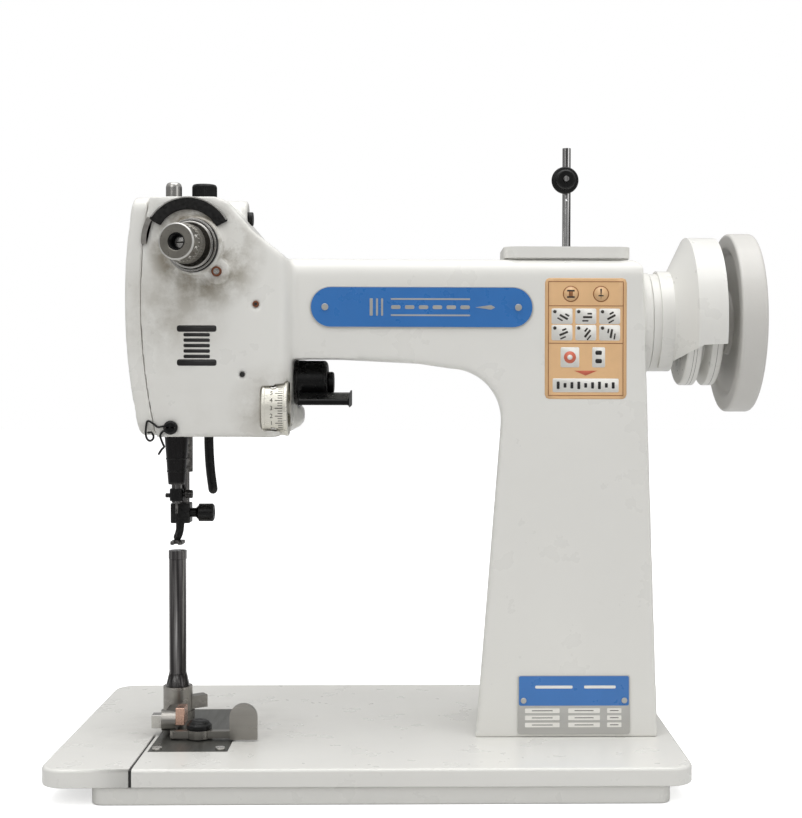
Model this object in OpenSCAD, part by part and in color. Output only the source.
// Small post-bed leather sewing machine: a hollow cast arm on a flat bed, with the
// stitch formed on top of a slim steel post. Millimetres. +X points to the handwheel,
// +Y to the back and +Z up. The origin is under the middle, on the standing surface.

/* [Bed] */
// Length of the bed plate along X
bed_length = 420; // [410:1:430]
// Depth of the bed plate along Y
bed_depth = 250; // [240:1:260]
// Thickness of the bed plate
bed_thickness = 12; // [12:0.5:13]
// Height of the skirt under the bed plate
skirt_height = 12; // [12:0.5:13]
// Corner radius of the bed plate
bed_corner_r = 16; // [8:1:24]
// Distance from the origin back to the middle of the bed along X
bed_offset = 30; // [28:1:32]

/* [Column and arm] */
// Height of the underside of the arm
arm_bottom = 286; // [284:1:288]
// Height of the top of the column
column_top = 356; // [354:1:360]
// Half depth of the arm
arm_half_depth = 38; // [36:1:40]
// Half depth of the column where it meets the bed
column_half_depth = 46; // [44:1:48]
// Radius of the inside curve between arm and column
throat_r = 36; // [34:1:40]

/* [Head] */
// Height of the underside of the head
head_bottom = 232; // [231:0.5:233]
// Height of the top of the head
head_top = 396.5; // [396:0.5:398]
// Half depth of the head
head_half_depth = 50; // [49:0.5:52]
// Radius of the curved joint between head and face plate
seam_r = 418; // [410:1:430]
// Thickness of the face plate
face_plate_t = 11; // [10:0.5:13]

/* [Main shaft] */
// Height of the main shaft axis
shaft_z = 313; // [312:0.5:314]
// Radius of the main shaft
shaft_r = 7; // [6.5:0.1:7.5]
// Radius of the handwheel
wheel_r = 64; // [60:1:66]
// Width of the handwheel
wheel_width = 18; // [16:0.5:18.5]
// Radius of the drive pulley
pulley_r = 45; // [42:1:46]
// Outer radius of the belt guard
guard_r = 61; // [60:0.5:62]

/* [Needle and presser bars] */
// X position of the needle and of the post
needle_x = -172; // [-173:0.5:-171]
// Radius of the needle bar
needle_bar_r = 3.6; // [3.4:0.1:3.8]
// Radius of the presser bar
presser_bar_r = 3.6; // [3.4:0.1:3.8]
// Distance of the presser bar behind the needle bar
presser_y = 16; // [16:0.5:17]
// Throw of the needle crank
crank_throw = 11; // [10:0.5:11.5]

/* [Post] */
// Height of the stitch plate on top of the post
post_top = 148; // [140:1:150]
// Outer radius of the post tube
post_r = 6.2; // [6:0.1:7]

/* [Thread tension] */
// Radius of the tension dial at its front
dial_r = 12.3; // [11:0.1:13]
// Angle by which the tension unit faces outwards
tension_tilt = 12; // [8:1:14]
// Height of the top of the thread rod
rod_top = 438; // [430:1:445]

/* [Hidden] */
$fn = 64;

paint = [0.93, 0.93, 0.91];
steel = [0.62, 0.62, 0.60];
dark_steel = [0.24, 0.24, 0.24];
black = [0.07, 0.07, 0.07];
bronze = [0.72, 0.52, 0.30];
copper = [0.80, 0.62, 0.54];
blue = [0.20, 0.50, 0.80];

run_gap = 0.05;                         // radial clearance of a running fit
ball = 1.04;                            // joint balls of a bent bar, against its radius
free_gap = 0.4;                         // gap between parts that pass each other
over = 1;                               // how far a cutter reaches past a face

bed_top = skirt_height + bed_thickness;
bed_left = -bed_offset - bed_length / 2;
bed_right = -bed_offset + bed_length / 2;
skirt_left = bed_left + 33;
skirt_right = bed_right - 15;
skirt_half_depth = bed_depth / 2 - 3;
skirt_wall = 4;
cover_t = 1.2;

column_left_foot = 42;
column_left_top = 59.2;
column_right_foot = 168.5;
column_right_top = 158.2;
column_right_cavity = 150;
throat_x = column_left_top - throat_r;
throat_z = arm_bottom - 6.5 - throat_r;
throat_draft = 3.5;                     // turn of the column's left face, seen from above
column_slope = atan((column_half_depth - arm_half_depth) / (arm_bottom - bed_top));

head_right = -86;
head_wall = 8;
seam_x = needle_x + 402;                // axis of the curved joint
seam_z = 325;
face_plate_r = seam_r + face_plate_t;
arm_wall = 12;                          // wall between head and arm

hub_face = column_right_top + 8.3;      // flat pad for the bearing housing
housing_r = 35;
housing_end = 182;
wheel_left = 240 - wheel_width;
sprocket_x = 100;
sprocket_w = 10.6;
sprocket_r = 8.5;
lower_z = 12;                           // axis of the lower shaft
lower_r = 4;

plate_left = -178;
plate_right = -125;
plate_front = -82;
plate_back = 40;
plate_t = 5;

post_y = 3.6;                           // the post axis is just behind the needle
post_bore_r = 5;
channel_w = 12;                         // channel for the lower shaft
looper_shaft_r = 2.5;
gear_room_r = 9.6;

presser_x = needle_x + 3;
needle_bar_end = 183;
needle_tip = 158;
stud_z = 281;                           // where the link takes hold of the needle bar
pin_z = shaft_z + crank_throw;
link_x = -161.6;                        // left face of the link
link_t = 4.6;
regulator_x = needle_x + 18;
foot_socket_z = 169;

lifter_x = -157;
lifter_z = 262;
lifter_cam_r = 5.5;
lifter_throw = 6.2;

lever_y = -12;
lever_z = 269.5;
drum_y = -36;
drum_z = 252;
drum_r = 19.5;
drum_left = -105.6;
drum_right = -88;
drum_pin_r = 4;
lever_pin_r = 4;

tension_x = -150.4;
tension_z = 362.5;

rod_x = 108;
rod_r = 3;
disc_x = 106.4;
disc_z = 414.5;

guide_x = -167.4;                       // screw of the wire guide
guide_z = 238.6;

swing_x = -149;
swing_y = -46;

badge_x = 4;
badge_z = 321.9;
badge_w = 155;
badge_h = 29;
name_x = 110;
name_z = 46.5;
name_w = 78;
name_h = 41;
plate_sheet = 1;
rivet_depth = 4;

screw_r = 1.95;
screw_hole_r = 2;
face_screw_sink = 3.2;
top_cover_t = 9;
rear_cover_t = 2;
guard_sheet = 2;

// Front X of the curved face plate at height z
function face_x(z) = seam_x - sqrt(pow(face_plate_r, 2) - pow(z - seam_z, 2));
// Y of the column's front face at height z, below the arm
function column_y(z) = column_half_depth
    - (column_half_depth - arm_half_depth) * (z - bed_top) / (arm_bottom - bed_top);

// Box between two opposite corners
module block(low, high) translate(low) cube(high - low);

// Round bar along X
module x_rod(x0, x1, r, y = 0, z = 0)
    translate([x0, y, z]) rotate([0, 90, 0]) cylinder(h = x1 - x0, r = r);

// Round bar along Y
module y_rod(y0, y1, r, x = 0, z = 0)
    translate([x, y1, z]) rotate([90, 0, 0]) cylinder(h = y1 - y0, r = r);

// Round bar along Z
module z_rod(z0, z1, r, x = 0, y = 0)
    translate([x, y, z0]) cylinder(h = z1 - z0, r = r);

// Round bar from p to q with a slightly proud ball at q
module bar(p, q, r) {
    v = q - p;
    translate(p) rotate([0, acos(v[2] / norm(v)), atan2(v[1], v[0])]) cylinder(h = norm(v), r = r);
    translate(q) sphere(r = ball * r);
}

// Chain of bars through a list of points
module bent_bar(points, r) {
    translate(points[0]) sphere(r = ball * r);
    for (i = [1 : len(points) - 1]) bar(points[i - 1], points[i], r);
}

// Flat outline with rounded corners, centred
module rounded_rect(w, d, r) {
    square([w - 2 * r, d], center = true);
    square([w, d - 2 * r], center = true);
    for (x = [-1, 1], y = [-1, 1]) translate([x * (w / 2 - r), y * (d / 2 - r)]) circle(r = r);
}

// Side outline in X and Z, extruded equally to the front and the back
module side_extrude(half_depth) rotate([90, 0, 0]) linear_extrude(2 * half_depth, center = true) children();

// Outline in Y and Z, extruded along X
module long_extrude(x0, x1) translate([x0, 0, 0]) rotate([90, 0, 90]) linear_extrude(x1 - x0) children();

// Turned part about a line along X, from [radius, x] points
module turned_x(points, y = 0, z = 0)
    translate([0, y, z]) rotate([0, 90, 0]) rotate_extrude() polygon(points);

// Ring sector in a flat outline, from angle a0 to a1
module ring_sector(r_in, r_out, a0, a1) {
    reach = 2 * r_out;
    difference() {
        intersection() {
            circle(r = r_out);
            polygon([[0, 0], for (k = [0 : 3])
                let (a = a0 + (a1 - a0) * k / 3) reach * [cos(a), sin(a)]]);
        }
        circle(r = r_in);
    }
}

// Frame of the tension unit: +Z points out of the head's front
module tension_frame()
    translate([tension_x, -head_half_depth, tension_z]) rotate([0, 0, -tension_tilt]) rotate([90, 0, 0])
        children();

// Places of the screws and rivets: local +Z points out of the face that they sit on
module face_screw_spots()
    for (y = [-45, 45], z = [252, 376]) translate([face_x(z), y, z]) rotate([0, -90, 0]) children();

module rear_screw_spots()
    for (x = [75, 139], z = [64, 226])
        translate([x, column_y(z), z]) rotate([column_slope - 90, 0, 0]) children();

module top_screw_spots() for (x = [68, 142]) translate([x, 0, column_top]) children();

module access_screw_spots()
    for (x = [plate_left + 5.5, plate_right - 5.5], y = [plate_front + 5.5, plate_back - 5.5])
        translate([x, y, bed_top]) children();

module pad_screw_spot() translate([-135.5, -head_half_depth, 345]) rotate([90, 0, 0]) children();

module guard_screw_spots()
    for (a = [10, 60]) translate([housing_end - 6, 0, shaft_z]) rotate([a, 0, 0])
        translate([0, housing_r, 0]) rotate([-90, 0, 0]) children();

module badge_rivet_spots()
    for (s = [-1, 1]) translate([badge_x + s * 67, -arm_half_depth, badge_z]) rotate([90, 0, 0]) children();

module name_rivet_spots()
    translate([name_x, -column_y(name_z), name_z]) rotate([90 - column_slope, 0, 0])
        for (s = [-1, 1]) translate([s * (name_w / 2 - 4), 3, 0]) children();

// ---------------------------------------------------------------- bed

module bed_plate() color(paint) {
    slot_x = -181;
    slot_w = 2;
    slot_end = -37;
    rim = 3;
    screw_land = 9;
    difference() {
        translate([-bed_offset, 0, skirt_height]) linear_extrude(bed_thickness)
            rounded_rect(bed_length, bed_depth, bed_corner_r);
        block([slot_x - slot_w / 2, -bed_depth / 2 - over, skirt_height - over],
              [slot_x + slot_w / 2, slot_end, bed_top + over]);
        block([plate_left, plate_front, bed_top - plate_t], [plate_right, plate_back, bed_top + over]);
        block([plate_left + rim, plate_front + screw_land, skirt_height - over],
              [plate_right - rim, plate_back - screw_land, bed_top]);
        access_screw_spots() translate([0, 0, -plate_t - 3]) cylinder(h = 4, r = screw_hole_r);
        // room for the looper gear
        z_rod(skirt_height - over, bed_top - 2.5, gear_room_r, needle_x, post_y);
        // channel for the lower shaft and slot for the belt
        block([plate_right - 2 * rim, post_y - channel_w / 2, skirt_height - over],
              [98, post_y + channel_w / 2, 17.5]);
        block([97, post_y - 14, skirt_height - over], [120, post_y + 14, bed_top + over]);
    }
}

module bed_skirt() color(paint) {
    mid = (skirt_left + skirt_right) / 2;
    width = skirt_right - skirt_left;
    difference() {
        translate([mid, 0, 0]) linear_extrude(skirt_height)
            rounded_rect(width, 2 * skirt_half_depth, 8);
        translate([mid, 0, -over]) linear_extrude(skirt_height + 2 * over)
            rounded_rect(width - 2 * skirt_wall, 2 * (skirt_half_depth - skirt_wall), 5);
    }
}

module bottom_cover() color(steel)
    translate([(skirt_left + skirt_right) / 2, 0, 0]) linear_extrude(cover_t)
        rounded_rect(skirt_right - skirt_left - 2 * skirt_wall - 0.2,
                     2 * (skirt_half_depth - skirt_wall) - 0.2, 4.9);

module access_plate() color(dark_steel) {
    fit = 0.1;
    difference() {
        union() {
            block([plate_left + fit, plate_front + fit, bed_top - plate_t],
                  [plate_right - fit, plate_back - fit, bed_top]);
            z_rod(bed_top - plate_t, bed_top + 6, 3, swing_x, swing_y);
        }
        z_rod(bed_top - plate_t - over, bed_top - 2.5, gear_room_r, needle_x, post_y);
        z_rod(bed_top - plate_t - over, bed_top + over, post_bore_r, needle_x, post_y);
        access_screw_spots()
            translate([0, 0, -plate_t - over]) cylinder(h = plate_t + 2 * over, r = screw_hole_r);
    }
}

// ---------------------------------------------------------------- casting

// Arm and column in side view, before the throat is cut
module arm_side()
    polygon([[head_right - 10, bed_top], [column_right_foot, bed_top], [column_right_top, column_top - 5],
             [column_right_top - 5, column_top], [head_right - 10, column_top]]);

// Throat in side view: the room under the arm and left of the column
module throat_side() {
    polygon([[head_right - 60, bed_top - over], [column_left_foot, bed_top - over],
             [column_left_top, throat_z], [throat_x, throat_z + throat_r],
             [-2, arm_bottom - 2.8], [-60, arm_bottom], [head_right - 60, arm_bottom]]);
    translate([throat_x, throat_z]) circle(r = throat_r);
}

// Arm and column seen along X
module arm_end() {
    edge_r = 12;
    polygon([[-column_half_depth, bed_top], [column_half_depth, bed_top], [arm_half_depth, arm_bottom],
             [arm_half_depth, column_top - edge_r], [arm_half_depth - edge_r, column_top],
             [edge_r - arm_half_depth, column_top], [-arm_half_depth, column_top - edge_r],
             [-arm_half_depth, arm_bottom]]);
    for (y = [-1, 1]) translate([y * (arm_half_depth - edge_r), column_top - edge_r]) circle(r = edge_r);
}

// Head in side view, left open ended for the curved joint
module head_side() {
    corner = 12;
    polygon([[-220, head_bottom], [head_right - corner, head_bottom], [head_right, head_bottom + corner],
             [head_right, 352], [-93, 359], [-111, 373], [-129, head_top - 2.5], [-137, head_top],
             [-220, head_top]]);
    translate([head_right - corner, head_bottom + corner]) circle(r = corner);
}

module head_shell() {
    length = 150;
    intersection() {
        side_extrude(head_half_depth) head_side();
        translate([head_right - length / 2, 0, head_bottom - over]) linear_extrude(head_top)
            rounded_rect(length, 2 * head_half_depth, 12);
        y_rod(-100, 100, seam_r, seam_x, seam_z);
    }
    // lower boss behind the reverse lever
    translate([0, 7, 0]) side_extrude(13)
        polygon([[-92, 236], [-84.5, 236.5], [-81.4, 242], [-81.4, 250], [-83.5, 252.5], [-92, 252.5]]);
    // pin that the reverse lever turns on
    x_rod(head_right - 2, head_right + 19, lever_pin_r, lever_y, lever_z);
    // boss behind the top of the head
    x_rod(-140, -122, 11, 15, 390);
    // pad of the tension unit and its screw lug
    tension_frame() translate([0, 0, -10]) cylinder(h = 15, r = 20);
    y_rod(-head_half_depth - 4, -head_half_depth + 4, 9, -135.5, 345);
}

module casting_cavities() {
    // head, open to the face plate
    side_extrude(head_half_depth - head_wall)
        polygon([[-260, head_bottom + 10], [head_right - arm_wall, head_bottom + 10],
                 [head_right - arm_wall, 352], [-114, 364], [-137, head_top - 10.5],
                 [-260, head_top - 10.5]]);
    // arm
    block([head_right + 2, 10 - arm_half_depth, arm_bottom + 8], [70, arm_half_depth - 10, column_top - 16]);
    // column
    side_extrude(arm_half_depth - 8)
        polygon([[column_left_foot + 12, bed_top - over], [column_left_top + 10, throat_z],
                 [column_left_top + 10, column_top - 9], [column_right_cavity, column_top - 9],
                 [column_right_cavity + 5, bed_top - over]]);
    // opening under the top cover
    block([74, -26, column_top - 12], [136, 26, column_top + over]);
    // opening under the rear cover
    block([80, arm_half_depth - 12, 70], [134, column_half_depth + over, 220]);
}

module casting_bores() {
    x_rod(head_right - arm_wall - over, head_right + 4, 11, 0, shaft_z);
    x_rod(column_right_cavity - 6, hub_face + over, 22, 0, shaft_z);
    z_rod(head_bottom - over, head_bottom + 12, 8.6, needle_x, 0);
    z_rod(head_bottom - over, head_bottom + 12, 6, presser_x, presser_y);
    z_rod(head_top - 12, head_top + over, 6.5, needle_x, 0);
    z_rod(head_top - 12, head_top - 4, 6, presser_x, presser_y);
    z_rod(head_top - 12, head_top + over, 3 + run_gap, regulator_x, presser_y);
    y_rod(head_half_depth - 10, head_half_depth + over, 4 + run_gap, lifter_x, lifter_z);
    // pocket of the stitch drum, which leaves the pin that the drum turns on
    difference() {
        x_rod(drum_left - 0.5, drum_right + 0.5, drum_r + 0.6, drum_y, drum_z);
        x_rod(drum_left + 4.5, drum_right + over, drum_pin_r, drum_y, drum_z);
    }
    x_rod(-136, -117, 5, 15, 388);
    tension_frame() translate([0, 0, -20]) cylinder(h = 30, r = 4);
    pad_screw_spot() translate([0, 0, -6]) cylinder(h = 11, r = screw_hole_r);
    face_screw_spots() translate([0, 0, -22]) cylinder(h = 22, r = screw_hole_r);
    rear_screw_spots() translate([0, 0, -7]) cylinder(h = 8, r = screw_hole_r);
    top_screw_spots() translate([0, 0, -4]) cylinder(h = 5, r = screw_hole_r);
    badge_rivet_spots() translate([0, 0, -rivet_depth]) cylinder(h = rivet_depth + over, r = 1.5);
    name_rivet_spots() translate([0, 0, -rivet_depth]) cylinder(h = rivet_depth + over, r = 1.3);
    y_rod(-head_half_depth - over, -head_half_depth + 9, 2.2, -109.5, 323);
    y_rod(-head_half_depth - over, -head_half_depth + 9, 1.8, -118.8, 275);
    y_rod(-head_half_depth - over, -head_half_depth + 9, screw_hole_r, guide_x, guide_z);
}

module arm_casting() color(paint) difference() {
    union() {
        difference() {
            intersection() {
                side_extrude(60) arm_side();
                long_extrude(-110, 190) arm_end();
            }
            translate([column_left_top, -arm_half_depth, 0]) rotate([0, 0, -throat_draft])
                translate([-column_left_top, arm_half_depth, 0]) side_extrude(90) throat_side();
        }
        head_shell();
        x_rod(column_right_cavity - 4, hub_face, housing_r + 1, 0, shaft_z);
    }
    casting_cavities();
    casting_bores();
}

module face_plate() color(paint) {
    corner = 10;
    height = head_top - head_bottom - 1;
    intersection() {
        difference() {
            y_rod(-70, 70, face_plate_r, seam_x, seam_z);
            y_rod(-80, 80, seam_r + 0.1, seam_x, seam_z);
            face_screw_spots() translate([0, 0, -21]) cylinder(h = 22, r = screw_hole_r);
            face_screw_spots() translate([0, 0, -face_screw_sink]) cylinder(h = 5, r = 3.6);
            z_rod(head_bottom, head_bottom + 15, 9, needle_x, 0);
        }
        translate([0, 0, head_bottom + 1 + height / 2]) long_extrude(-230, -150)
            rounded_rect(2 * head_half_depth, height, corner);
    }
}

// Slotted cover screw: local +Z points out of the covered face
module cover_screw(shank) {
    head_r = 3.2;
    head_t = 1.8;
    difference() {
        union() {
            cylinder(h = head_t, r = head_r);
            translate([0, 0, -shank]) cylinder(h = shank, r = screw_r);
        }
        translate([-head_r - over, -0.4, head_t - 0.8]) cube([2 * head_r + 2 * over, 0.8, 2]);
    }
}

module cover_screws() color(steel) {
    face_screw_spots() translate([0, 0, -face_screw_sink]) cover_screw(18);
    rear_screw_spots() translate([0, 0, rear_cover_t]) cover_screw(8);
    top_screw_spots() translate([0, 0, top_cover_t]) cover_screw(top_cover_t + 3);
    access_screw_spots() cover_screw(plate_t + 2);
    pad_screw_spot() translate([0, 0, 4]) cover_screw(6);
    guard_screw_spots() translate([0, 0, guard_sheet]) cover_screw(6);
}

module column_top_cover() color(paint) {
    length = 89;
    foot = 1;
    difference() {
        translate([106, 0, column_top]) {
            linear_extrude(foot) rounded_rect(length - 6, 56, 6);
            translate([0, 0, foot]) linear_extrude(top_cover_t - foot) rounded_rect(length, 62, 10);
        }
        z_rod(column_top - over, column_top + top_cover_t + over, rod_r, rod_x, 0);
        top_screw_spots() translate([0, 0, -over]) cylinder(h = top_cover_t + 2 * over, r = screw_hole_r);
    }
}

module column_rear_cover() color(paint) {
    mid_z = 145;
    difference() {
        translate([107, column_y(mid_z), mid_z]) rotate([column_slope - 90, 0, 0])
            linear_extrude(rear_cover_t) rounded_rect(74, 172, 8);
        rear_screw_spots() translate([0, 0, -over]) cylinder(h = rear_cover_t + 2 * over, r = screw_hole_r);
    }
}

// ---------------------------------------------------------------- plates

module badge_plate() color(blue) difference() {
    translate([badge_x, -arm_half_depth, badge_z]) rotate([90, 0, 0]) linear_extrude(plate_sheet)
        rounded_rect(badge_w, badge_h, badge_h / 2 - 0.5);
    badge_rivet_spots() translate([0, 0, -over]) cylinder(h = plate_sheet + 2 * over, r = 1.5);
}

module name_plate() color(blue) difference() {
    translate([name_x, -column_y(name_z), name_z]) rotate([90 - column_slope, 0, 0])
        linear_extrude(plate_sheet) rounded_rect(name_w, name_h, 2);
    name_rivet_spots() translate([0, 0, -over]) cylinder(h = plate_sheet + 2 * over, r = 1.3);
}

// Round-headed drive rivet, standing on a sheet
module rivet(head_r, shank_r) {
    translate([0, 0, -rivet_depth]) cylinder(h = rivet_depth + plate_sheet, r = shank_r);
    translate([0, 0, plate_sheet]) cylinder(h = 0.9, r = head_r);
}

module plate_rivets() color(steel) {
    badge_rivet_spots() rivet(2.4, 1.5);
    name_rivet_spots() rivet(2, 1.3);
}

// ---------------------------------------------------------------- main shaft

module bearing_housing() color(paint) difference() {
    union() {
        x_rod(hub_face, housing_end, housing_r, 0, shaft_z);
        x_rod(column_right_cavity - 2, hub_face, 22, 0, shaft_z);
    }
    x_rod(column_right_cavity - 3, housing_end + over, 12, 0, shaft_z);
    guard_screw_spots() translate([0, 0, -5]) cylinder(h = 6, r = screw_hole_r);
}

module shaft_bushings() color(bronze) {
    difference() {
        x_rod(head_right - arm_wall - 2, head_right + 4, 11, 0, shaft_z);
        x_rod(head_right - arm_wall - 3, head_right + 5, shaft_r + run_gap, 0, shaft_z);
    }
    difference() {
        x_rod(column_right_cavity - 2, housing_end + 1, 12, 0, shaft_z);
        x_rod(column_right_cavity - 3, housing_end + 2, shaft_r + run_gap, 0, shaft_z);
    }
}

module belt_guard() color(paint) {
    shoulder = 193;
    rim = 213;
    difference() {
        turned_x([[housing_r, 172], [housing_r + guard_sheet, 172], [housing_r + guard_sheet, 181],
                  [guard_r, shoulder], [guard_r, rim], [guard_r - guard_sheet, rim],
                  [guard_r - guard_sheet, shoulder + 1], [housing_r, 182.5]], 0, shaft_z);
        // open lower half, cut lower beside the housing
        side_extrude(70)
            polygon([[160, 200], [160, 279], [176, 281], [190, 292], [197, 296], [220, 297], [220, 200]]);
        guard_screw_spots() translate([0, 0, -over]) cylinder(h = guard_sheet + 2 * over, r = screw_hole_r);
    }
}

module main_shaft() color(steel) x_rod(-147, 236, shaft_r, 0, shaft_z);

// Toothed belt wheel with side flanges about a line along X
module sprocket(bore_r, z) {
    teeth = 16;
    flange = 1.5;
    difference() {
        union() {
            x_rod(sprocket_x, sprocket_x + sprocket_w, sprocket_r, 0, z);
            for (x = [sprocket_x, sprocket_x + sprocket_w - flange])
                x_rod(x, x + flange, sprocket_r + 1.7, 0, z);
        }
        x_rod(sprocket_x - over, sprocket_x + sprocket_w + over, bore_r, 0, z);
        for (i = [0 : teeth - 1]) translate([0, 0, z]) rotate([360 / teeth * i, 0, 0])
            x_rod(sprocket_x + flange, sprocket_x + sprocket_w - flange, 0.7, sprocket_r + 0.2, 0);
    }
}

module upper_sprocket() color(steel) sprocket(shaft_r, shaft_z);

module lower_sprocket() color(steel) translate([0, post_y, 0]) sprocket(lower_r, lower_z);

// Closed toothed belt around both sprockets, running free of their rims
module timing_belt() color(black) {
    inner = sprocket_r + free_gap;
    outer = inner + 1.2;
    gap = 1.9;
    drop = shaft_z - lower_z;
    reach = norm([post_y, drop]);
    translate([0, 0, shaft_z]) rotate([atan(post_y / drop), 0, 0])
        long_extrude(sprocket_x + gap, sprocket_x + sprocket_w - gap) difference() {
            union() {
                for (z = [-reach, 0]) translate([0, z]) circle(r = outer);
                translate([-outer, -reach]) square([2 * outer, reach]);
            }
            for (z = [-reach, 0]) translate([0, z]) circle(r = inner);
            translate([-inner, -reach]) square([2 * inner, reach]);
        }
}

module crank_disc() color(steel) {
    disc_r = 20;
    difference() {
        x_rod(-149, -138, disc_r, 0, shaft_z);
        x_rod(-147, -137, shaft_r, 0, shaft_z);
        // lightened on the crank pin's side
        for (s = [-1, 1]) x_rod(-150, -137, 3.5, s * 12, shaft_z + 7);
    }
}

module drive_pulley() color(paint) {
    groove_r = pulley_r - 13;
    turned_x([[shaft_r, 184], [15, 184], [15, 189], [pulley_r - 1, 189], [pulley_r, 190], [pulley_r, 199],
              [groove_r, 201.5], [groove_r, 203.5], [pulley_r, 206], [pulley_r, 213], [pulley_r - 1, 214],
              [18, 214], [18, wheel_left - 1], [shaft_r, wheel_left - 1]], 0, shaft_z);
}

module handwheel() color(paint) {
    right = wheel_left + wheel_width;
    edge = 2.5;
    turned_x([[shaft_r, wheel_left - 1], [22, wheel_left - 1], [22, wheel_left + 3],
              [wheel_r - 14, wheel_left + 3],
              [wheel_r - 11, wheel_left], [wheel_r - 2, wheel_left], [wheel_r, wheel_left + 2],
              for (k = [0 : 4]) let (a = 90 * k / 4)
                  [wheel_r - edge + edge * cos(a), right - edge + edge * sin(a)],
              [wheel_r - 14, right], [wheel_r - 18, right - 6], [24, right - 6], [20, right - 1],
              [shaft_r, right - 1]], 0, shaft_z);
}

// ---------------------------------------------------------------- lower shaft

module lower_bearings() color(bronze) for (x = [-121, 78]) translate([x, post_y, 0]) difference() {
    union() {
        block([0, -14, 3], [12, 14, skirt_height]);
        block([0, 0.1 - channel_w / 2, skirt_height], [12, channel_w / 2 - 0.1, 17.4]);
    }
    x_rod(-over, 13, lower_r + run_gap, 0, lower_z);
}

module lower_shaft() color(steel) x_rod(needle_x + 12, 116, lower_r, post_y, lower_z);

// Straight bevel gear of 45 degrees with its apex at the origin and its axis along +Z
module bevel_gear(tooth_w, turn) {
    teeth = 12;
    near = 4.6;
    far = 7.6;
    tip = 0.9;
    root = 1.4;
    intersection() {
        translate([0, 0, near]) cylinder(h = far - near, r1 = near + tip, r2 = far + tip);
        union() {
            translate([0, 0, near]) cylinder(h = far - near, r1 = near - root, r2 = far - root);
            for (i = [0 : teeth - 1]) rotate(360 / teeth * (i + turn))
                translate([1, -tooth_w / 2, near]) cube([far + tip, tooth_w, far - near]);
        }
    }
    translate([0, 0, far]) cylinder(h = 1.6, r = far - root);
}

tooth_w = 0.9;

module lower_gear() color(steel) difference() {
    union() {
        translate([needle_x, post_y, lower_z]) rotate([0, 90, 0]) bevel_gear(tooth_w, 0);
        x_rod(needle_x + 9.2, needle_x + 18, 6, post_y, lower_z);
    }
    x_rod(needle_x + 12, needle_x + 19, lower_r, post_y, lower_z);
}

module looper_shaft() color(steel) {
    translate([needle_x, post_y, lower_z]) bevel_gear(tooth_w, 0.5);
    z_rod(lower_z + 8, post_top - 7, looper_shaft_r, needle_x, post_y);
}

module looper() color(steel) difference() {
    z_rod(post_top - 7, post_top - 3.4, 2.6, needle_x, post_y);
    block([needle_x - 4, post_y - 4, post_top - 6], [needle_x - 0.6, post_y + 0.6, post_top - 4.4]);
}

// ---------------------------------------------------------------- post

module post_base() color(steel) difference() {
    union() {
        z_rod(bed_top, bed_top + 8, 12, needle_x, post_y);
        z_rod(bed_top + 8, bed_top + 26, 10.4, needle_x, post_y);
        block([needle_x - 4, -36, bed_top + 4], [needle_x + 6, post_y, bed_top + 14]);
        x_rod(needle_x - 4, needle_x + 6, 7, -36, bed_top + 10);
        // arm that steadies the post from behind
        translate([needle_x + 4, post_y, bed_top + 9]) rotate([0, 0, -58])
            block([-4, 0, 0], [4, 17, 9]);
    }
    z_rod(bed_top - over, bed_top + 27, post_r + 0.02, needle_x, post_y);
    x_rod(needle_x - 12, needle_x + 7, 3, -36, bed_top + 10);
}

module post_tube() color(steel) difference() {
    union() {
        z_rod(bed_top, post_top - 6, post_r, needle_x, post_y);
        translate([needle_x, post_y, bed_top + 26]) cylinder(h = 10, r1 = 8.6, r2 = post_r);
    }
    z_rod(bed_top - over, post_top - 5, post_bore_r, needle_x, post_y);
}

module throat_cap() color(steel) difference() {
    z_rod(post_top - 6, post_top, post_r + 0.3, needle_x, post_y);
    z_rod(post_top - 7, post_top - 2, post_bore_r, needle_x, post_y);
    z_rod(post_top - 3, post_top + over, 1.1, needle_x, 0);
    block([needle_x + 2.4, post_y - 3.4, post_top - 3], [needle_x + 4.9, post_y + 3.4, post_top + over]);
}

module feed_dog() color(dark_steel) {
    x0 = needle_x + 3.2;
    x1 = x0 + 1.1;
    bar_top = post_top - 0.6;
    // driving bar inside the post
    block([x0, post_y - 0.8, bed_top + 10], [x1, post_y + 0.8, bar_top]);
    // teeth, which carry the work
    for (y = [-0.55, 0, 0.55])
        block([x0, post_y + y - 0.2, bar_top], [x1, post_y + y + 0.2, post_top + 0.3]);
}

module clamp_bolt() color(steel) {
    head = 9;
    block([needle_x - 11, -36 - head / 2, bed_top + 10 - head / 2],
          [needle_x - 4, -36 + head / 2, bed_top + 10 + head / 2]);
    x_rod(needle_x - 4, needle_x + 6, 2.98, -36, bed_top + 10);
}

module guide_block() color(copper)
    block([needle_x + 6, -43, bed_top + 8], [needle_x + 12.4, -29, bed_top + 20]);

module swing_lever() color(steel) difference() {
    union() {
        z_rod(bed_top + 0.8, bed_top + 6.5, 9, swing_x, swing_y);
        block([swing_x - 17, swing_y - 6, bed_top + 1.2], [swing_x + 25, swing_y - 1, bed_top + 6.2]);
        z_rod(bed_top + 1.2, bed_top + 6.2, 2.5, swing_x - 17, swing_y - 3.5);
        // finger plate
        block([swing_x + 22, swing_y - 10, bed_top + 1.2], [swing_x + 41, swing_y - 7, bed_top + 16.5]);
        block([swing_x + 22, swing_y - 10, bed_top + 1.2], [swing_x + 25, swing_y - 1, bed_top + 6.2]);
        y_rod(swing_y - 10, swing_y - 7, 9.5, swing_x + 31.5, bed_top + 16.5);
    }
    z_rod(bed_top, bed_top + 7, 3 + run_gap, swing_x, swing_y);
}

module swing_knob() color(black) {
    z_rod(bed_top + 6.5, bed_top + 10, 8.7, swing_x, swing_y);
    z_rod(bed_top + 10, bed_top + 13, 7.4, swing_x, swing_y);
}

// ---------------------------------------------------------------- needle and presser bars

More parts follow.
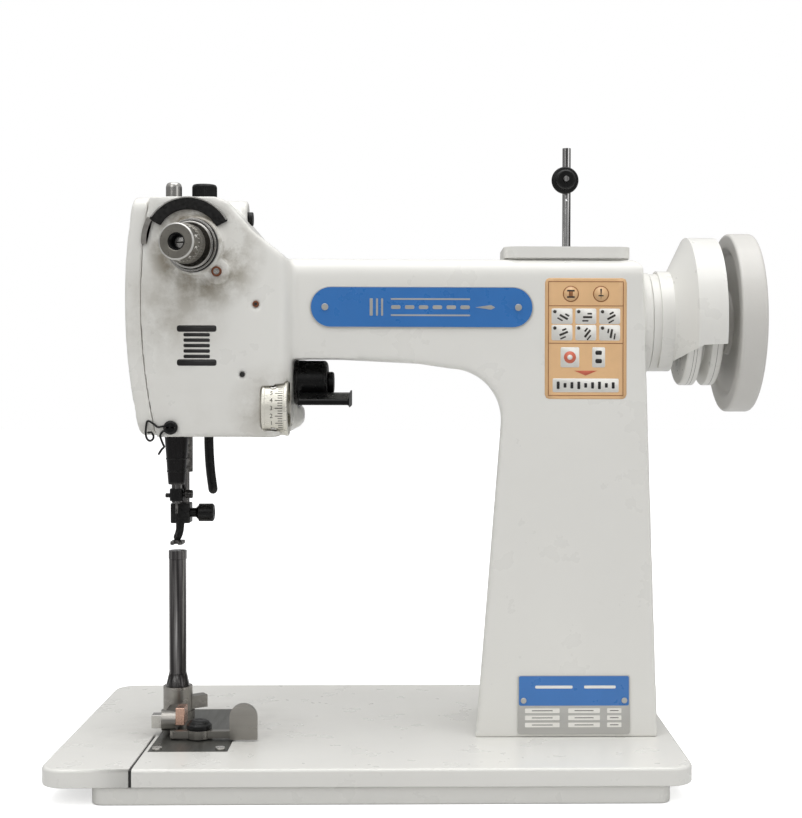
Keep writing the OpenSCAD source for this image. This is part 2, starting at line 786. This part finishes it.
module needle_bar_sleeve() color(black) difference() {
    union() {
        z_rod(head_bottom, head_bottom + 14, 8.6, needle_x, 0);
        translate([needle_x, 0, 196]) cylinder(h = head_bottom - 196, r1 = 6, r2 = 8.6);
    }
    z_rod(195, head_bottom + 15, needle_bar_r + run_gap, needle_x, 0);
}

module bar_bushings() color(bronze) {
    difference() {
        z_rod(350, head_top, 6.5, needle_x, 0);
        z_rod(349, head_top + over, needle_bar_r + run_gap, needle_x, 0);
    }
    difference() {
        z_rod(350, head_top - 4, 6, presser_x, presser_y);
        z_rod(349, head_top - 3, presser_bar_r + run_gap, presser_x, presser_y);
    }
    difference() {
        z_rod(204, head_bottom + 14, 6, presser_x, presser_y);
        z_rod(203, head_bottom + 15, presser_bar_r + run_gap, presser_x, presser_y);
    }
}

module needle_bar_cap() color(steel) {
    z_rod(head_top, head_top + 14.5, 5.8, needle_x - 1.5, 0);
    z_rod(head_top + 14.5, head_top + 15.5, 4.8, needle_x - 1.5, 0);
}

module needle_bar() color(steel) difference() {
    union() {
        z_rod(needle_bar_end, head_top - 6, needle_bar_r, needle_x, 0);
        // clamp that holds the link stud
        z_rod(stud_z - 7, stud_z + 7, 7.5, needle_x, 0);
        x_rod(needle_x + 5, link_x + link_t - 0.4, 3, 0, stud_z);
    }
    z_rod(needle_bar_end - over, needle_bar_end + 14, 1, needle_x, 0);
}

module needle_clamp() color(black) difference() {
    union() {
        z_rod(needle_bar_end + 1, needle_bar_end + 10, 5, needle_x, 0);
        x_rod(needle_x + 3, needle_x + 11.5, 3, 0, needle_bar_end + 6);
        x_rod(needle_x - 8, needle_x - 3, 1.6, 0, needle_bar_end + 5);
    }
    z_rod(needle_bar_end - over, needle_bar_end + 11, needle_bar_r, needle_x, 0);
}

module needle() color(steel) {
    z_rod(needle_bar_end - 8, needle_bar_end + 12, 1, needle_x, 0);
    z_rod(needle_tip + 4, needle_bar_end - 8, 0.6, needle_x, 0);
    translate([needle_x, 0, needle_tip]) cylinder(h = 4, r1 = 0.1, r2 = 0.6);
}

module needle_link() color(steel) {
    difference() {
        union() {
            for (z = [stud_z, pin_z]) x_rod(link_x, link_x + link_t, 6.4, 0, z);
            block([link_x + 0.6, -4, stud_z], [link_x + link_t - 0.6, 4, pin_z]);
        }
        x_rod(link_x - over, link_x + link_t + over, 3 + run_gap, 0, stud_z);
    }
    // crank pin, whose end stands free of the crank disc
    x_rod(link_x + link_t, -149 - free_gap, 3.4, 0, pin_z);
}

module presser_bar() color(steel) z_rod(foot_socket_z, 372, presser_bar_r, presser_x, presser_y);

module lift_bracket() color(steel) difference() {
    cam_top = lifter_z + lifter_cam_r;
    union() {
        z_rod(cam_top + 1.1, cam_top + 10, 6.6, presser_x, presser_y);
        block([presser_x - 5, presser_y, cam_top + 1.1], [lifter_x + 13, 33, cam_top + 7]);
    }
    z_rod(cam_top, cam_top + 11, presser_bar_r, presser_x, presser_y);
}

module presser_spring() color(steel) {
    foot = lifter_z + lifter_cam_r + 10;
    coil_r = 5.2;
    wire_r = 0.7;
    turns = 15;
    pitch = (340 - foot - 2 * wire_r) / (turns - 1);
    translate([presser_x, presser_y, foot + wire_r]) for (i = [0 : turns - 1])
        translate([0, 0, i * pitch]) rotate_extrude() translate([coil_r, 0]) circle(r = wire_r);
}

module pressure_plate() color(steel) difference() {
    block([presser_x - 6.5, presser_y - 6.5, 340], [regulator_x + 4.5, presser_y + 6.5, 343]);
    z_rod(339, 344, presser_bar_r + run_gap + 0.2, presser_x, presser_y);
}

module pressure_regulator() color(black) {
    z_rod(343.2, head_top + 1, 3, regulator_x, presser_y);
    z_rod(head_top + 0.5, head_top + 4.8, 5, regulator_x, presser_y);
    z_rod(head_top + 4.8, head_top + 15.3, 9, regulator_x, presser_y);
    z_rod(head_top + 15.3, head_top + 16.3, 8.2, regulator_x, presser_y);
}

module presser_foot() color(black) difference() {
    union() {
        block([presser_x - 9, 7.6, 167], [presser_x + 5, presser_y + 6, 181.5]);
        // curved shank that comes forward over the post
        bent_bar([[presser_x - 2, 10.6, 169], [presser_x - 2.5, 9.6, 162], [presser_x - 4, 8.8, 157]], 2.9);
        // toe with a fork for the needle
        block([needle_x - 4.5, -4.5, 152.6], [needle_x + 4.5, 10.4, 155]);
    }
    block([needle_x - 1.4, -6, 151], [needle_x + 1.4, 1.6, 156]);
    z_rod(foot_socket_z, 182, presser_bar_r, presser_x, presser_y);
}

module foot_screw() color(black) {
    y = 12.8;
    z = 174.5;
    x_rod(presser_x + 5, presser_x + 9, 3.4, y, z);
    translate([presser_x + 9, y, z]) rotate([0, 90, 0]) cylinder(h = 2, r1 = 3.4, r2 = 5.6);
    x_rod(presser_x + 11, presser_x + 21, 6.5, y, z);
    x_rod(presser_x + 21, presser_x + 22, 5.4, y, z);
}

module hand_lifter() color(black) {
    hub_y = head_half_depth + free_gap;
    y_rod(25, 33, lifter_cam_r, lifter_x + lifter_throw, lifter_z);
    y_rod(25, hub_y + 8, 4, lifter_x, lifter_z);
    y_rod(hub_y, hub_y + 9, 7.5, lifter_x, lifter_z);
    bent_bar([[lifter_x, hub_y + 5, lifter_z], [lifter_x, hub_y + 5, 222],
              [lifter_x + 1, hub_y + 5, 204], [lifter_x + 3, hub_y + 5, 188]], 3.5);
}

// ---------------------------------------------------------------- thread parts

module tension_stud() color(black) tension_frame() {
    translate([0, 0, -18]) cylinder(h = 46, r = 4);
    translate([0, 0, 5]) cylinder(h = 3.4, r = 18.4);
}

module tension_discs() color(steel) tension_frame() {
    thick = 1.1;
    for (z = [8.6, 10.4]) translate([0, 0, z]) difference() {
        cylinder(h = thick, r = 16);
        translate([0, 0, -over]) cylinder(h = thick + 2 * over, r = 4);
    }
    // conical spring, drawn as closed coils
    for (k = [0 : 2])
        translate([0, 0, 12.3 + 1.3 * k]) rotate_extrude() translate([8 - k, 0]) circle(r = 0.6);
}

module tension_dial() color(steel) tension_frame() difference() {
    rotate_extrude() polygon([[4 + run_gap, 16], [dial_r + 1.2, 16], [dial_r + 1.2, 24], [dial_r, 35],
                              [dial_r - 0.8, 35.8], [5.8, 35.8], [5.8, 27], [4 + run_gap, 27]]);
    // knurled rim
    for (i = [0 : 23]) rotate(15 * i) translate([dial_r + 1.5, 0, 15]) cylinder(h = 9, r = 0.6);
}

module tension_bracket() color(black) {
    centre = [-155.1, 0, 365.8];
    difference() {
        translate([0, -head_half_depth - 1.6, 0]) side_extrude(1.1) translate([centre[0], centre[2]]) {
            ring_sector(21.5, 30.4, 27, 151);
            ring_sector(28, 31.9, 148, 184);
        }
        tension_frame() translate([0, 0, -5]) cylinder(h = 15, r = 20.6);
    }
    for (a = [80, 125]) y_rod(-head_half_depth - 1.5, -head_half_depth, 3,
                              centre[0] + 26 * cos(a), centre[2] + 26 * sin(a));
}

module boss_plug() color(black) x_rod(-134, -118.6, 5, 15, 388);

module wire_guide() color(black) {
    y = -head_half_depth - 1.4;
    wire_r = 0.8;
    y_rod(-head_half_depth - 4, -head_half_depth, 4.8, guide_x, guide_z);
    y_rod(-head_half_depth, -head_half_depth + 7, 1.95, guide_x, guide_z);
    bent_bar([[-170, y, 240], [-175.8, y, 239], [-182.9, y, 243], [-183.3, y, 235]], wire_r);
    translate([-181.6, y, 232.6]) rotate([90, 0, 0]) rotate_extrude() translate([2.7, 0]) circle(r = wire_r);
    bent_bar([[-170, y, 236.8], [-173.9, y, 234.5], [-174, y, 231], [-171.9, y, 226],
              [-175.6, y, 220.4]], wire_r);
}

module stitch_dial() color(steel) difference() {
    x_rod(drum_left, drum_right, drum_r, drum_y, drum_z);
    x_rod(drum_left - over, drum_left + 6, drum_r - 6, drum_y, drum_z);
    x_rod(drum_right - 6, drum_right + over, drum_r - 6, drum_y, drum_z);
    x_rod(drum_left - over, drum_right + over, drum_pin_r + run_gap, drum_y, drum_z);
}

module reverse_lever() color(black) difference() {
    union() {
        x_rod(head_right + free_gap, head_right + 3, 16, lever_y, lever_z);
        x_rod(head_right + 3, head_right + 23.5, 15.5, lever_y, lever_z);
        // press plate, lower at the operator's edge
        long_extrude(head_right + 5.5, head_right + 40.5)
            polygon([[-54, 254.2], [-54, 258], [-38, 262.5], [lever_y, 262.5], [lever_y, 255],
                     [-40, 254.2]]);
        // end cap
        x_rod(head_right + 23.5, head_right + 27.8, 7.6, lever_y, lever_z);
    }
    x_rod(head_right, head_right + 20, lever_pin_r + run_gap, lever_y, lever_z);
}

module thread_rod() color(steel) {
    difference() {
        z_rod(column_top - 6, rod_top, rod_r, rod_x, 0);
        y_rod(-5, 5, 1, rod_x, 401);
    }
    y_rod(-15, -2, 2, disc_x, disc_z);
}

module rod_disc() color(black) difference() {
    union() {
        y_rod(-6.5, -4, 9.7, disc_x, disc_z);
        y_rod(-12.5, -6.5, 7, disc_x, disc_z);
    }
    y_rod(-13, -3, 2 + run_gap, disc_x, disc_z);
}

bed_plate();
bed_skirt();
bottom_cover();
access_plate();
arm_casting();
face_plate();
cover_screws();
column_top_cover();
column_rear_cover();
badge_plate();
name_plate();
plate_rivets();
bearing_housing();
shaft_bushings();
belt_guard();
thread_rod();
tension_stud();
tension_discs();
tension_bracket();
boss_plug();
wire_guide();
needle_bar_sleeve();
bar_bushings();
needle_bar_cap();
pressure_plate();
presser_spring();
timing_belt();
lower_bearings();
post_base();
post_tube();
throat_cap();
clamp_bolt();
guide_block();
main_shaft();
upper_sprocket();
crank_disc();
drive_pulley();
handwheel();
lower_shaft();
lower_sprocket();
lower_gear();
looper_shaft();
looper();
needle_bar();
needle_clamp();
needle();
needle_link();
presser_bar();
lift_bracket();
presser_foot();
foot_screw();
hand_lifter();
tension_dial();
pressure_regulator();
stitch_dial();
reverse_lever();
feed_dog();
swing_lever();
swing_knob();
rod_disc();
